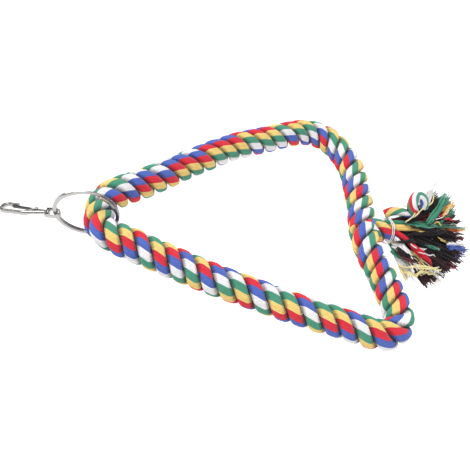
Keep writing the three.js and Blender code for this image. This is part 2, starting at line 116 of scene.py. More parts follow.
def set_at(spot: Vector, x: Vector, y: Vector) -> Matrix:
    """The frame of an object that lies at a spot, with the ways of its X and Y."""
    return Matrix.Translation(spot) @ Matrix((x, y, x.cross(y))).transposed().to_4x4()


def put(name: str, data: bpy.types.ID) -> bpy.types.Object:
    """Puts an object into the scene.

    Args:
        name: its name.
        data: its mesh, light or camera.

    Returns:
        The object.
    """
    made = bpy.data.objects.new(name, data)
    bpy.context.scene.collection.objects.link(made)
    return made


class Yarn(Enum):
    """The colours of the cotton yarn, as sRGB shares of light."""

    BLUE = (0.33, 0.43, 0.77)
    RED = (0.89, 0.17, 0.25)
    YELLOW = (0.98, 0.85, 0.51)
    GREEN = (0.30, 0.61, 0.50)
    WHITE = (0.98, 0.97, 0.98)
    CREAM = (0.97, 0.92, 0.68)
    BLACK = (0.12, 0.10, 0.12)
    RUST = (0.47, 0.14, 0.19)
    ORANGE = (0.93, 0.52, 0.22)

    def linear(self) -> tuple[float, ...]:
        """The red, green, blue and alpha in scene light, by the standard sRGB curve."""
        shares = [c / 12.92 if c <= 0.04045 else ((c + 0.055) / 1.055) ** 2.4 for c in self.value]
        return (*shares, 1.0)


LAID_ORDER = (Yarn.BLUE, Yarn.RED, Yarn.YELLOW, Yarn.GREEN, Yarn.WHITE)
TAIL_ORDER = LAID_ORDER[::-1]


class Signal:
    """An output socket of a shader node, whose arithmetic adds Math nodes to its tree."""

    def __init__(self, paint: "Paint", out: bpy.types.NodeSocket) -> None:
        """Keeps the socket and the nodes that it belongs to."""
        self.paint = paint
        self.out = out

    def math(self, operation: str, *values: "Signal | float") -> "Signal":
        """The result of a new Math node with that operation and these values, in order."""
        return self.paint.add("Math", dict(enumerate(values)), operation=operation)

    def __add__(self, other: "Signal | float") -> "Signal":
        """The sum."""
        return self.math("ADD", self, other)

    def __sub__(self, other: "Signal | float") -> "Signal":
        """The difference."""
        return self.math("SUBTRACT", self, other)

    def __rsub__(self, other: float) -> "Signal":
        """The difference, from a plain number."""
        return self.math("SUBTRACT", other, self)

    def __mul__(self, other: "Signal | float") -> "Signal":
        """The product."""
        return self.math("MULTIPLY", self, other)

    def fract(self) -> "Signal":
        """What is left over a whole number."""
        return self.math("FRACT", self)

    def floor(self) -> "Signal":
        """The whole number below."""
        return self.math("FLOOR", self)

    def below(self, limit: float) -> "Signal":
        """1 where it is below a limit, 0 elsewhere."""
        return self.math("LESS_THAN", self, limit)

    def larger(self, other: "Signal") -> "Signal":
        """The larger of the two."""
        return self.math("MAXIMUM", self, other)

    def hump(self) -> "Signal":
        """A wave that rises from 0 to 1 and falls back over each whole number."""
        return self.math("ABSOLUTE", self.math("SINE", self * math.pi))

    __radd__ = __add__


class Paint:
    """The shader nodes of one material or world."""

    def __init__(self, owner: bpy.types.Material | bpy.types.World) -> None:
        """Starts with no nodes.

        Args:
            owner: the new material or world.
        """
        owner.use_nodes = True
        self.owner = owner
        self.tree = owner.node_tree
        self.tree.nodes.clear()

    @classmethod
    def named(cls, name: str) -> "Paint":
        """Starts a new material of that name."""
        return cls(bpy.data.materials.new(name))

    def add(self, kind: str, sockets: dict | None = None, out: int | str = 0, **settings: str) -> Signal:
        """Adds one shader node.

        Args:
            kind: the node's type.
            sockets: values or links of its input sockets, by name or number.
            out: which output to give back.
            settings: its own settings, set first.

        Returns:
            That output.
        """
        node = self.tree.nodes.new(f"ShaderNode{kind}")
        for key, value in settings.items():
            setattr(node, key, value)
        for key, value in (sockets or {}).items():
            if isinstance(value, Signal):
                self.tree.links.new(value.out, node.inputs[key])
            else:
                node.inputs[key].default_value = value
        return Signal(self, node.outputs[out])

    def stripes(self, place: Signal, colours: Sequence[tuple[float, ...]]) -> Signal:
        """Plain colours side by side.

        Args:
            place: where they are read, from 0 to 1.
            colours: the colours, in order.

        Returns:
            The colour.
        """
        stripes = self.add("ValToRGB", {0: place})
        ramp = stripes.out.node.color_ramp
        ramp.interpolation = "CONSTANT"
        while len(ramp.elements) < len(colours):
            ramp.elements.new(1.0)
        for number, (element, colour) in enumerate(zip(ramp.elements, colours)):
            element.position = number / len(colours)
            element.color = colour
        return stripes

    def split(self, vector: Signal) -> tuple[Signal, Signal, Signal]:
        """The x, y and z of a vector."""
        node = self.add("SeparateXYZ", {0: vector}).out.node
        return tuple(Signal(self, out) for out in node.outputs)

    def mix(self, share: Signal | float, low: Signal | tuple, high: Signal | tuple,
            blend: str = "MIX") -> Signal:
        """Two colours mixed, with a share of the second one."""
        return self.add("Mix", {0: share, 6: low, 7: high}, 2, data_type="RGBA", blend_type=blend)

    def noise(self, vector: Signal, scale: float, detail: float = 2.0, rough: float = 0.5) -> Signal:
        """A soft noise from 0 to 1, with detail finer layers that are as strong as rough says."""
        return self.add("TexNoise", {"Vector": vector, "Scale": scale, "Detail": detail, "Roughness": rough})

    def shaded(self, colour: Signal | tuple, light: Signal) -> Signal:
        """A colour times a light."""
        grey = self.add("CombineColor", {0: light, 1: light, 2: light})
        return self.mix(1.0, colour, grey, "MULTIPLY")

    def spots(self) -> Signal:
        """Where each spot lies in the object."""
        return self.add("TexCoord", out="Object")

    def map(self, name: str) -> tuple[Signal, Signal]:
        """The two numbers of a map."""
        return self.split(self.add("UVMap", uv_map=name))[:2]

    def chance(self, number: Signal) -> Signal:
        """A chance shade for each whole number."""
        return self.add("TexWhiteNoise", {"W": number.floor()}, noise_dimensions="1D")

    def bump(self, height: Signal, distance: float, strength: float = 1.0) -> Signal:
        """A normal bumped by a height, whose 1 stands for a distance in metres."""
        return self.add("Bump", {"Strength": strength, "Distance": distance, "Height": height})

    def finish(self, sockets: dict) -> bpy.types.Material:
        """Ends the tree in one surface shader with these sockets, and gives the finished material."""
        self.end("OutputMaterial", self.add("BsdfPrincipled", sockets))
        return self.owner

    def end(self, kind: str, surface: Signal) -> None:
        """Links a shader to a new output node of that type."""
        output = self.tree.nodes.new(f"ShaderNode{kind}")
        self.tree.links.new(surface.out, output.inputs["Surface"])


@dataclass(frozen=True)
class LaidCotton:
    """Cotton strands of several colours side by side, each of a few yarns.

    One map gives the colour and the length, and the other how deep a spot lies in the groove between strands.
    The colour carries painted shade deep in those grooves, at the seams between the yarns and between the
    plies.
    """

    name: str = "laid_cotton"
    order: tuple[Yarn, ...] = LAID_ORDER
    yarns: int = 25
    relief: float = 0.00024
    painted_groove_shade: float = 0.5
    plain_light: float = 0.74
    yarn_light: float = 0.10
    streak_light: float = 0.16
    fade_light: float = 0.12
    painted_ply_shade: float = 0.05
    painted_seam_shade: float = 0.10
    streaks_round: float = 2.6
    streaks_along: float = 0.22
    ply_round: float = 0.5
    ply_slant: float = 0.55
    fade_scale: float = 55.0
    ridge_height: float = 0.5
    ply_height: float = 0.35
    streak_height: float = 0.6
    roughness: float = 0.82
    streak_roughness: float = 0.14

    def material(self) -> bpy.types.Material:
        """Makes the material.

        Returns:
            The material.
        """
        paint = Paint.named(self.name)
        place, along = paint.map("lay")
        hollow, _ = paint.map("hollow")
        dye = paint.stripes(place.fract(), [yarn.linear() for yarn in self.order])
        yarn = place * float(self.yarns)
        shade = paint.chance(yarn)
        grain = paint.add("CombineXYZ", {0: yarn * self.streaks_round, 1: along * self.streaks_along})
        streaks = paint.noise(grain, scale=1.0, detail=3.0, rough=0.6)
        ply = (yarn * self.ply_round + along * self.ply_slant).hump()
        ridge = yarn.fract().hump()
        fade = paint.noise(paint.spots(), self.fade_scale)
        # The light is the yarns' own tone by yarn, streak and fade, with painted shade on top: darker between
        # plies, at the seams between yarns and deep in the grooves between strands.
        light = self.plain_light + shade * self.yarn_light + streaks * self.streak_light
        light = light + fade * self.fade_light + ply * self.painted_ply_shade - (1.0 - ridge) * self.painted_seam_shade
        light = light * (1.0 - hollow * self.painted_groove_shade)
        height = ridge * self.ridge_height + ply * self.ply_height + streaks * self.streak_height
        return paint.finish({
            "Base Color": paint.shaded(dye, light),
            "Roughness": self.roughness + streaks * self.streak_roughness,
            "Sheen Weight": 0.25, "Sheen Roughness": 0.55, "Specular IOR Level": 0.25,
            "Normal": paint.bump(height, self.relief),
        })


@dataclass(frozen=True)
class LooseYarn:
    """One colour of yarn from the opened tail. The map's whole numbers tell one yarn from the next.

    Its tips are worn to another colour, and a share of stray yarns has some of that all along.
    """

    yarn: Yarn
    tip: Yarn
    tip_share: float = 0.35
    worn_from: float = 0.86
    stray: float = 0.0
    stray_share: float = 0.55
    worn_over: float = 0.2
    worn_by_fibre: float = 0.12
    worn_by_yarn: float = 0.08
    twist: float = 26.0
    plain_light: float = 0.66
    yarn_light: float = 0.30
    painted_ply_shade: float = 0.16
    fibre_light: float = 0.16
    fibre_scale: float = 900.0
    relief: float = 0.00022
    plies: float = 2.0
    ply_height: float = 0.7
    fibre_height: float = 0.5
    roughness: float = 0.80
    fibre_roughness: float = 0.18

    def slot(self) -> str:
        """The record's material slot."""
        dyed = {Yarn.CREAM: Yarn.YELLOW, Yarn.RUST: Yarn.RED, Yarn.ORANGE: Yarn.YELLOW}
        return f"{dyed.get(self.yarn, self.yarn).name.lower()}_yarn"

    def material(self) -> bpy.types.Material:
        """Makes the material.

        Returns:
            The material.
        """
        worn_percent = round(self.tip_share * 100)
        paint = Paint.named(f"loose_{self.yarn.name}_{self.tip.name}_{worn_percent}_yarn".lower())
        round_yarn, share = paint.map("lay")
        shade = paint.chance(round_yarn)
        ply = (round_yarn.fract() * self.plies + share * self.twist).hump()
        fibres = paint.noise(paint.spots(), self.fibre_scale, detail=3.0, rough=0.65)
        reached = share + fibres * self.worn_by_fibre + shade * self.worn_by_yarn
        wear = {0: reached, 1: self.worn_from, 2: self.worn_from + self.worn_over, 3: 0.0, 4: self.tip_share}
        worn = paint.add("MapRange", wear, interpolation_type="SMOOTHSTEP")
        stray = shade.below(self.stray) * self.stray_share
        dye = paint.mix(worn.larger(stray), self.yarn.linear(), self.tip.linear())
        # The ply term is painted shade, darker in the creases between plies; the yarn and fibre terms are the
        # yarn's own tone.
        light = self.plain_light + shade * self.yarn_light + ply * self.painted_ply_shade + fibres * self.fibre_light
        return paint.finish({
            "Base Color": paint.shaded(dye, light),
            "Roughness": self.roughness + fibres * self.fibre_roughness,
            "Sheen Weight": 0.2, "Sheen Roughness": 0.5, "Specular IOR Level": 0.2,
            "Normal": paint.bump(ply * self.ply_height + fibres * self.fibre_height, self.relief),
        })


@dataclass(frozen=True)
class Metal:
    """A plated or plain metal with faint scratches and duller patches."""

    name: str
    colour: Triple
    roughness: float
    dulling: float = 0.12
    scratch: float = 0.00002
    scratch_scale: Triple = (300.0, 2600.0, 2600.0)
    patch_scale: float = 260.0
    plain_light: float = 0.86
    patch_light: float = 0.18
    scratch_light: float = 0.05
    scratch_roughness: float = 0.06

    def material(self) -> bpy.types.Material:
        """Makes the material.

        Returns:
            The material.
        """
        paint = Paint.named(self.name)
        spots = paint.spots()
        patches = paint.noise(spots, self.patch_scale, detail=3.0, rough=0.6)
        drawn = paint.add("Mapping", {"Vector": spots, "Scale": self.scratch_scale})
        scratches = paint.noise(drawn, scale=1.0, detail=4.0, rough=0.7)
        light = self.plain_light + patches * self.patch_light + scratches * self.scratch_light
        return paint.finish({
            "Base Color": paint.shaded((*self.colour, 1.0), light), "Metallic": 1.0,
            "Roughness": self.roughness + patches * self.dulling + scratches * self.scratch_roughness,
            "Normal": paint.bump(scratches, self.scratch, strength=0.6),
        })


@dataclass(frozen=True)
class PaleFloor:
    """A plain pale studio floor that glows a little, as an evenly lit sweep does."""

    name: str = "pale_floor"
    grey: float = 0.4
    glow: float = 0.95

    def material(self) -> bpy.types.Material:
        """Makes the material."""
        return Paint.named(self.name).finish({
            "Base Color": (self.grey, self.grey, self.grey, 1.0), "Roughness": 0.9, "Specular IOR Level": 0.1,
            "Emission Color": (1.0, 1.0, 1.0, 1.0), "Emission Strength": self.glow,
        })


class Line:
    """A smooth line through points, which is read by its share of the whole length."""

    LOOK_AHEAD = 0.4

    def __init__(self, points: Sequence[Sequence[float]], closed: bool = False, fineness: int = 40) -> None:
        """Draws the line.

        Args:
            points: the points that it goes through.
            closed: whether it comes back to its first point.
            fineness: how many steps it has between two points.
        """
        spots = np.array(points, dtype=float)
        if closed:
            spots = np.concatenate((spots[-1:], spots, spots[:2]))
        else:
            spots = np.concatenate((2 * spots[:1] - spots[1:2], spots, 2 * spots[-1:] - spots[-2:-1]))
        before, start, end, after = (spots[i:len(spots) - 3 + i, None] for i in range(4))
        leave, arrive = (end - before) / 2, (after - start) / 2
        t = (np.arange(fineness) / fineness)[:, None]
        cubic = (2 * start - 2 * end + leave + arrive) * t ** 3
        square = (3 * end - 3 * start - 2 * leave - arrive) * t ** 2
        spans = cubic + square + leave * t + start
        self.spots = np.concatenate((spans.reshape(-1, 3), spots[-2:-1]))
        steps = np.linalg.norm(np.diff(self.spots, axis=0), axis=1)
        self.reached = np.concatenate(((0.0,), np.cumsum(steps)))
        self.length = float(self.reached[-1])

    def at(self, shares: np.ndarray) -> np.ndarray:
        """The points at some shares of the length."""
        along = shares * self.length
        return np.stack([np.interp(along, self.reached, self.spots[:, i]) for i in range(3)], axis=1)

    def runs(self, shares: np.ndarray) -> np.ndarray:
        """The ways that the line runs.

        Args:
            shares: where, as shares of the length.

        Returns:
            A unit vector for each share.
        """
        reach = self.LOOK_AHEAD / self.length
        ways = self.at(np.minimum(shares + reach, 1.0)) - self.at(np.maximum(shares - reach, 0.0))
        return ways / np.linalg.norm(ways, axis=1)[:, None]


def across(runs: np.ndarray, up: np.ndarray = UP) -> tuple[np.ndarray, np.ndarray]:
    """The two ways square to each run.

    Args:
        runs: unit vectors along a line.
        up: what the sideways way is square to.

    Returns:
        The sideways and the upward ways.
    """
    side = np.cross(up, runs)
    side /= np.linalg.norm(side, axis=1)[:, None]
    return side, np.cross(runs, side)


@dataclass(frozen=True)
class Bend:
    """Where a soft piece bends from one body to the next, as runs along the tail from the splice."""

    body: str
    start: float
    end: float

    @staticmethod
    def spot(run: float) -> tuple[float, ...]:
        """The place on the tail's axis, in metres, that is a run of millimetres from the splice."""
        return tuple((SPLICE + TAIL_WAY * run + SHIFT) * MM)


class Skin:
    """The mesh of one piece, made of tubes in the swing's own millimetres."""

    SHORT_OF_ROUND = 0.001

    def __init__(self) -> None:
        """Starts an empty mesh with maps named lay and hollow."""
        self.mesh = bmesh.new()
        self.map = self.mesh.loops.layers.uv.new("lay")
        self.hollow = self.mesh.loops.layers.uv.new("hollow")

    def tube(self, rings: np.ndarray, lay: np.ndarray, hollow: np.ndarray | None = None) -> None:
        """Wraps a grid into a tube.

        Args:
            rings: steps by sides by 3, the points of each ring.
            lay: steps by sides + 1 by 2, the map at each point; the last column is the first one's far side.
            hollow: steps by sides, how deep each point lies in a groove, from 0 to 1.
        """
        rows, sides = rings.shape[:2]
        made = bmesh.ops.create_grid(self.mesh, x_segments=rows - 1, y_segments=sides, size=0.5)["verts"]
        order = {vert: i for i, vert in enumerate(made)}
        for face in {face for vert in made for face in vert.link_faces}:
            face.smooth = True
            for loop in face.loops:
                column, row = divmod(order[loop.vert], rows)
                loop[self.map].uv = lay[row, column]
                if hollow is not None:
                    loop[self.hollow].uv = (hollow[row, column % sides], 0.0)
        wrapped = np.concatenate((rings, rings[:, :1]), axis=1).transpose(1, 0, 2).reshape(-1, 3)
        for vert, spot in zip(made, wrapped.tolist()):
            vert.co = spot
        seam = {made[sides * rows + row]: made[row] for row in range(rows)}
        bmesh.ops.weld_verts(self.mesh, targetmap=seam)

    def turned(self, line: Line, radii: Pairs, sides: int = 32) -> "Skin":
        """Adds a shape turned about a straight line, by runs along it in millimetres and the radii there."""
        along, radius = np.array(radii)[:, 0], np.array(radii)[:, 1:]
        return self.section(line, along / line.length, radius, radius, sides)

    def section(self, line: Line, shares: np.ndarray, wide: np.ndarray, tall: np.ndarray, sides: int,
                square: float = 1.0, up: np.ndarray = UP, first: float = 0.0) -> "Skin":
        """Adds a tube of rounded section along a line.

        Its map gives the way round, which stays just short of a whole number, and the share of the length.

        Args:
            line: the line that it follows.
            shares: where its rings are.
            wide: its half width at each ring, as a column or a number.
            tall: its half height at each ring, as a column or a number.
            sides: how many sides it has.
            square: 1 for an oval, and less for squarer corners.
            up: which way its height points.
            first: what the map's first number starts from.

        Returns:
            This mesh.
        """
        spots, (side, rise) = line.at(shares), across(line.runs(shares), up)
        turn = TURN * np.arange(sides) / sides
        flat = np.sign(np.cos(turn)) * np.abs(np.cos(turn)) ** square
        high = np.sign(np.sin(turn)) * np.abs(np.sin(turn)) ** square
        rings = spots[:, None] + side[:, None] * (wide * flat)[..., None]
        rings = rings + rise[:, None] * (tall * high)[..., None]
        around = first + np.arange(sides + 1) / (sides + self.SHORT_OF_ROUND)
        self.tube(rings, np.stack(np.meshgrid(around, shares), axis=2))
        return self

    def piece(self, name: str, material: bpy.types.Material, body: str, slot: str, nodes: Sequence[str],
              place: Matrix | None = None, bend: Bend | None = None) -> None:
        """Ends the mesh and makes the piece.

        Args:
            name: the piece's name.
            material: its finish.
            body: the CAD body that it rides on.
            slot: the record's material slot; not used.
            nodes: the CAD nodes that it stands for.
            place: where its millimetres lie in the swing's own frame, if not there already.
            bend: where it would bend from another body to that one; if given, the piece is only baked into
                place, not bent or attached.
        """
        bmesh.ops.holes_fill(self.mesh, edges=[edge for edge in self.mesh.edges if edge.is_boundary], sides=0)
        bmesh.ops.recalc_face_normals(self.mesh, faces=self.mesh.faces)
        move = Matrix.Scale(MM, 4) @ Matrix.Translation(SHIFT_VECTOR) @ (place or Matrix.Identity(4))
        bmesh.ops.transform(self.mesh, matrix=move, verts=self.mesh.verts)
        data = bpy.data.meshes.new(name)
        self.mesh.to_mesh(data)
        self.mesh.free()
        data.materials.append(material)
        made = put(name, data)
        if bend:
            bend.spot(bend.start)
            bend.spot(bend.end)
            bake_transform(made)
        else:
            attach(made, body)
        if nodes:
            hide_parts(*nodes)
        LOG.info("%s: %d faces", name, len(data.polygons))


@dataclass
class Lay:
    """How a strand is laid: its oval section, the yarns that it is made of and how they run.

    A wave is given by how fast it goes along the strand and how far it lags behind round it.
    """

    at: float = 5.7
    rise: float = 4.3
    half: float = 6.3
    yarns: int = 25
    points: int = 4
    groove: float = 0.32
    roundness: float = 0.6
    colour_turns: float = 2.15
    crowding: float = 0.3
    wave_depth: float = 0.10
    short_wave: Pair = (3.1, 40.0)
    long_wave: Pair = (7.7, 23.0)
    hollow_from: float = 0.4
    hollow_over: float = 0.5
    outline_points: int = 361
    outline: np.ndarray = field(init=False)
    share: np.ndarray = field(init=False)

    def __post_init__(self) -> None:
        """Measures the section, so that the yarns lie side by side round it, closer on the rope's outside."""
        self.outline = np.linspace(0, TURN, self.outline_points)
        corners = np.stack((self.rise * np.cos(self.outline), self.half * np.sin(self.outline)), axis=1)
        crowding = 1.0 + self.crowding * np.cos(self.outline[:-1])
        steps = np.linalg.norm(np.diff(corners, axis=0), axis=1) * crowding
        reached = np.concatenate(((0.0,), np.cumsum(steps)))
        self.share = reached / reached[-1]

    def strand(self, line: Line, shares: np.ndarray, turns: np.ndarray, colour: np.ndarray | float,
               scale: np.ndarray | float, centred: bool = False) -> Skin:
        """Makes one strand, with each row of its faces along a yarn.

        Args:
            line: the rope's centre line.
            shares: where the strand's rings are.
            turns: the lay at each ring, in turns round the rope.
            colour: where its colours start, in rounds of the five, at each ring or for all.
            scale: its thickness against the rope's own strands, as a column or a number.
            centred: whether the line is the strand's own middle, not the rope's.

        Returns:
            Its mesh.
        """
        sides = self.yarns * self.points
        place = np.arange(sides) / sides
        seen = (place[None, :] - (self.colour_turns * turns + colour)[:, None]) % 1.0
        angle = np.interp(seen, self.share, self.outline)
        ridge = np.abs(np.sin(math.pi * (np.arange(sides) % self.points) / self.points)) ** self.roundness
        along = shares * line.length
        short, long = (np.sin(along[:, None] / length + lag * place)
                       for length, lag in (self.short_wave, self.long_wave))
        depth = (ridge - 1.0) * self.groove + self.wave_depth * (short * long - 1.0)
        facing = np.stack((np.cos(angle) / self.rise, np.sin(angle) / self.half), axis=2)
        facing /= np.linalg.norm(facing, axis=2)[..., None]
        middle = 0.0 if centred else self.at
        out = (middle + self.rise * np.cos(angle) + depth * facing[..., 0]) * scale
        aside = (self.half * np.sin(angle) + depth * facing[..., 1]) * scale
        side, rise = across(line.runs(shares))
        cos, sin = np.cos(TURN * turns)[:, None], np.sin(TURN * turns)[:, None]
        rings = line.at(shares)[:, None] + side[:, None] * (out * cos - aside * sin)[..., None]
        rings = rings + rise[:, None] * (out * sin + aside * cos)[..., None]
        # How deep each point lies in the groove between strands, which the laid cotton turns into painted
        # shade.
        hollow = None
        if not centred:
            hollow = np.clip((self.hollow_from - np.cos(angle)) / self.hollow_over, 0.0, 1.0)
        skin = Skin()
        skin.tube(rings, np.stack(np.meshgrid(np.arange(sides + 1) / sides, along), axis=2), hollow)
        return skin


@dataclass
class Rope:
    """The triangle of three-strand rope and the short tail at its splice.

    The lay is given by shares of the loop and the thirds of a turn that the strands have made by there, and
    the dye by shares of the loop and where each strand's colours stand there, in rounds of the five.
    """

    lay: Lay = field(default_factory=Lay)
    strands: str = "abc"
    lay_at: tuple[float, ...] = (0, 0.034, 0.102, 0.163, 0.345, 0.437, 0.511, 0.552, 0.613, 0.816, 0.958, 1)
    thirds: tuple[float, ...] = (0.6, 2.25, 6.46, 9.42, 18.92, 24.45, 29.08, 31.48, 34.76, 45, 52.33, 54.6)
    dye_at: tuple[float, ...] = (0, 0.17, 0.254, 0.427, 0.511, 0.816, 1)
    dyes: tuple[tuple[float, ...], ...] = (
        (0.35, 0.50, 0.50, 0.76, 0.91, 1.12, 1.08),
        (0.50, 0.40, 0.40, 0.46, 0.69, 0.79, 0.63),
        (1.00, 0.92, 0.82, 0.80, 0.95, 0.66, 0.40),
    )
    pinch: float = 0.9
    pinch_full: float = 8.0
    pinch_end: float = 22.0
    step: float = 1.1
    tail_pitch: float = 33.0
    tail_from: float = 0.15
    tail_to: float = 0.99
    tail_rings: int = 22
    tail_bend: Bend = Bend("rope_frame", start=7.0, end=18.3)
    tail_dyes: tuple[float, ...] = (0.46, 0.72, 0.78)

    def turns(self, strand: int, shares: np.ndarray) -> np.ndarray:
        """The lay of one strand, counted from 0, in turns at some shares of the loop."""
        return (strand + np.interp(shares, self.lay_at, self.thirds)) / len(self.strands)

    def thickness(self, loop: Line, shares: np.ndarray) -> np.ndarray:
        """How far the rope is drawn in where it runs through the ring.

        Args:
            loop: the rope's centre line.
            shares: where on the loop.

        Returns:
            The thickness against the rope's own, as a column.
        """
        apex = loop.reached[np.argmin(loop.spots[:, 0])]
        away = np.abs(shares * loop.length - apex)
        freed = smooth((away - self.pinch_full) / (self.pinch_end - self.pinch_full))
        return (self.pinch + (1.0 - self.pinch) * freed)[:, None]

    def build(self, cotton: bpy.types.Material) -> None:
        """Makes the loop's strands and the tail's.

        Args:
            cotton: the strands' finish.
        """
        loop = Line([(x, y, ROPE_R + lift) for x, y, lift in ROUTE], closed=True)
        shares = even(round(loop.length / self.step) + 1)
        thickness = self.thickness(loop, shares)
        for strand, letter in enumerate(self.strands):
            dye = np.interp(shares, self.dye_at, self.dyes[strand])
            skin = self.lay.strand(loop, shares, self.turns(strand, shares), dye, thickness)
            nodes = [f"rope_strand_{letter}"]
            skin.piece(f"laid_strand_{letter}", cotton, "rope_frame", "rope_cotton", nodes)
        tail = Line((SPLICE, SPLICE + TAIL_WAY * TAIL_LENGTH / 2, SPLICE + TAIL_WAY * TAIL_LENGTH))
        runs = np.linspace(self.tail_from, self.tail_to, self.tail_rings)
        tail_cotton = LaidCotton("tail_cotton", TAIL_ORDER).material()
        for strand, letter in enumerate(self.strands):
            turns = self.turns(strand, np.zeros(1)) + runs * TAIL_LENGTH / self.tail_pitch
            skin = self.lay.strand(tail, runs, turns, self.tail_dyes[strand], TAIL_SCALE)
            skin.piece(f"laid_tail_{letter}", tail_cotton, "tassel", "rope_cotton", [f"tail_strand_{letter}"],
                       bend=self.tail_bend)


@dataclass
class Whipping:
    """The fine thread wound round the tail's end."""

    turns: int = 2
    pitch: float = 1.35
    start: float = 18.35
    thread_r: float = 0.32
    around: float = 9.25
    points: int = 33
    rings: int = 97
    sides: int = 10

    def build(self, thread: bpy.types.Material) -> None:
        """Makes the winding.

        Args:
            thread: its finish.
        """
        turn = np.linspace(0.0, self.turns, self.points)
        way = np.stack((np.zeros_like(turn), np.cos(TURN * turn), np.sin(TURN * turn)), axis=1)
        spots = SPLICE + way * self.around + TAIL_WAY * (self.start + self.pitch * turn)[:, None]
        r = self.thread_r
        skin = Skin().section(Line(spots), even(self.rings), r, r, self.sides, up=TAIL_WAY)
        skin.piece("whipping", thread, "tassel", "white_thread", ["whipping_thread"])


BLACK_YARN = LooseYarn(Yarn.BLACK, Yarn.RUST, tip_share=0.15, worn_from=0.9, stray=0.10)
GREEN_YARN = LooseYarn(Yarn.GREEN, Yarn.WHITE, tip_share=0.2)
PALE_GREEN_YARN = LooseYarn(Yarn.GREEN, Yarn.WHITE, tip_share=0.9, worn_from=0.4)
YELLOW_YARN = LooseYarn(Yarn.YELLOW, Yarn.ORANGE, tip_share=0.6)
CREAM_YARN = LooseYarn(Yarn.CREAM, Yarn.WHITE)
RED_YARN = LooseYarn(Yarn.RED, Yarn.RUST)
RUST_YARN = LooseYarn(Yarn.RUST, Yarn.RED, tip_share=0.6)
WHITE_YARN = LooseYarn(Yarn.WHITE, Yarn.CREAM, tip_share=0.2)
BLUE_YARN = LooseYarn(Yarn.BLUE, Yarn.BLACK, tip_share=0.3)
ORANGE_YARN = LooseYarn(Yarn.ORANGE, Yarn.RED, tip_share=0.5, worn_from=0.5)
LOOSENED_ORDER = (
    Yarn.GREEN, Yarn.RED, Yarn.WHITE, Yarn.GREEN, Yarn.WHITE, Yarn.BLUE, Yarn.WHITE, Yarn.BLACK,
)


@dataclass(frozen=True)
class Hank:
    """One hank of the tassel: its look, and its tip as a run along the tail, a run aside and a height."""

    node: str
    look: LooseYarn
    tip: Triple
    count: int
    spread: float
    shortest: float = 0.86
    wave: float = 0.9
    looped: float = 0.0


@dataclass(frozen=True)
class Wisp:
    """A few loose yarns that lie over the hanks, along points of the swing's own frame."""

    look: LooseYarn
    points: tuple[Triple, ...]
    count: int
    spread: float
    ragged: float = 0.4


@dataclass(frozen=True)
class Curl:
    """A strand end that still holds together, along points of the swing's own frame."""

    points: tuple[Triple, ...]
    scale: float
    dye: float
    pitch: float = 40.0
    order: tuple[Yarn, ...] = LAID_ORDER


@dataclass(frozen=True)
class YarnShape:
    """How the tassel's single yarns lie beside their line, and how they differ."""

    radius: float = 0.45
    sides: int = 5
    steps: int = 16
    neck_r: float = 1.9
    longest: float = 1.03
    opening: float = 0.8
    swings: Pair = (0.3, 1.2)
    beats: Pair = (1.0, 2.2)
    upward_beat: float = 0.8
    thickness: Pair = (0.85, 1.2)
    taper: float = 0.35
    taper_power: int = 6
    clearance: float = 0.1
    loop_turn: float = 2.3
    loop_from: float = 0.55
    loop_reach: float = 4.0
    lean: Triple = (-0.3, 0.4, 0.87)

    def add(self, skin: Skin, line: Line, number: int, chance: random.Random, spread: float, wave: float,
            shortest: float = 0.8, looped: bool = False, ragged: float = 0.0) -> None:
        """Adds one yarn to a mesh.

        Args:
            skin: the mesh.
            line: the line of its hank or wisp.
            number: its number there.
            chance: where its small differences come from.
            spread: how far from the line the farthest tips lie.
            wave: how far it waves.
            shortest: how long the shortest yarn is, against the line.
            looped: whether its end turns back.
            ragged: how far along the line the last yarns start, as a share.
        """
        shares = even(self.steps + 1)
        first = chance.uniform(0.0, ragged)
        reached = first + shares * (chance.uniform(shortest, self.longest) - first)
        if looped:
            reached = np.sin(shares * self.loop_turn) * chance.uniform(shortest, 1.0)
        held = np.minimum(reached, 1.0)
        spots, (side, rise) = line.at(held), across(line.runs(held))
        spots = spots + line.runs(np.ones(1)) * (np.maximum(reached - 1.0, 0.0) * line.length)[:, None]
        way, away = chance.uniform(0, TURN), math.sqrt(chance.random())
        opened = min(self.neck_r, spread) + max(spread - self.neck_r, 0.0) * reached ** self.opening
        swing = reached * wave * chance.uniform(*self.swings)
        beat, phase = chance.uniform(*self.beats), chance.uniform(0, TURN)
        aside = away * opened * math.cos(way) + swing * np.sin(beat * TURN * shares + phase)
        above = away * opened * math.sin(way)
        above = above + swing * np.cos(beat * TURN * shares * self.upward_beat + phase)
        if looped:
            past = np.maximum(shares - self.loop_from, 0.0)
            aside = aside + chance.uniform(-self.loop_reach, self.loop_reach) * past
            above = above + chance.uniform(0.0, self.loop_reach) * past
        spots = spots + side * aside[:, None] + rise * above[:, None]
        spots[:, 2] = np.maximum(spots[:, 2], self.radius + self.clearance)
        radius = self.radius * chance.uniform(*self.thickness)
        thick = (radius * (1.0 - self.taper * shares ** self.taper_power))[:, None]
        skin.section(Line(spots, fineness=4), shares, thick, thick, self.sides, up=np.array(self.lean),
                     first=float(number))


